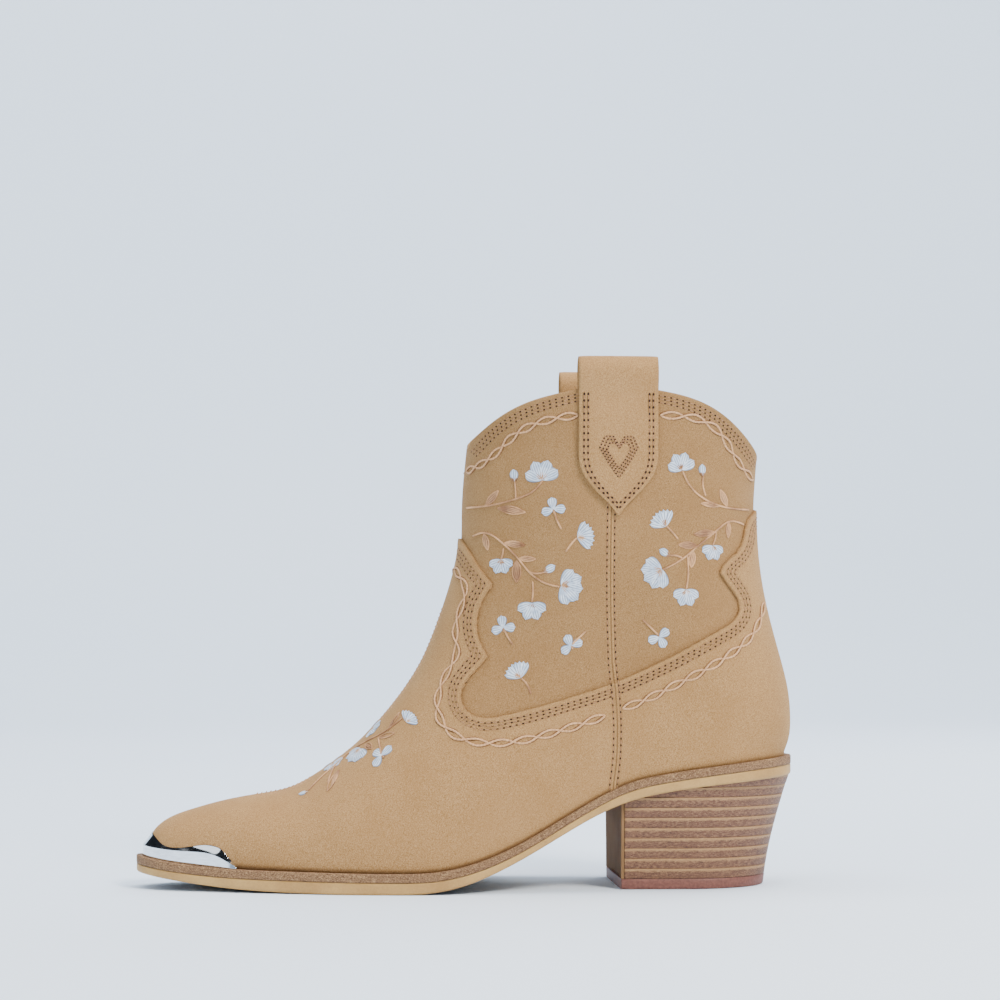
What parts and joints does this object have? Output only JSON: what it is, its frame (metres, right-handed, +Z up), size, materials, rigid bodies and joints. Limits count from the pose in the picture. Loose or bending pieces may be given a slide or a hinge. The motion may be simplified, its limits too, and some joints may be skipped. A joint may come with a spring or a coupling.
{
  "type": "cowboy boot",
  "caption": "Left pull-on western ankle boot: pointed toe, scalloped suede overlays, embroidered leg, pull straps, metal toe guard and an underslung stacked heel.",
  "frame": {"origin": "centre of the footprint box, on the ground", "axes": "+Z up, toe towards -X, outer side of the foot towards -Y"},
  "size_m": [0.2696, 0.088, 0.2146],
  "materials": {
    "suede": "brushed sand suede",
    "lining_leather": "smooth lining leather",
    "welt_board": "burnished dark brown edge",
    "outsole_rubber": "matt tan sole",
    "heel_stack": "stacked board, burnished edge",
    "heel_flap": "smooth tan",
    "top_piece_rubber": "reddish brown rubber",
    "toe_metal": "mirror polished",
    "steel": "plain steel",
    "stiffener": "resin-stiffened fibre",
    "board": "fibre board",
    "cork": "cork filler",
    "foam": "soft foam"
  },
  "bodies": {
    "root": {"bottom_filler": "cork", "counter_stiffener": "stiffener", "footbed_foam": "foam", "heel_breast_cover": "heel_flap", "heel_cover": "suede", "heel_lift_01": "heel_stack", "heel_lift_02": "heel_stack", "heel_lift_03": "heel_stack", "heel_lift_04": "heel_stack", "heel_lift_05": "heel_stack", "heel_lift_06": "heel_stack", "heel_lift_07": "heel_stack", "heel_lift_08": "heel_stack", "heel_lift_09": "heel_stack", "heel_lift_10": "heel_stack", "heel_nail_1": "steel", "heel_nail_2": "steel", "heel_nail_3": "steel", "heel_nail_4": "steel", "heel_screw": "steel", "heel_top_piece": "top_piece_rubber", "insole_board": "board", "lining_back": "lining_leather", "lining_front": "lining_leather", "outsole": "outsole_rubber", "pull_strap_inner": "suede", "pull_strap_outer": "suede", "shaft_back": "suede", "shaft_front": "suede", "shank": "steel", "side_piping_inner": "suede", "side_piping_outer": "suede", "sock_liner": "lining_leather", "toe_plate": "toe_metal", "toe_puff": "stiffener", "vamp": "suede", "vamp_interlining": "stiffener", "welt": "welt_board"}
  },
  "joints": []
}
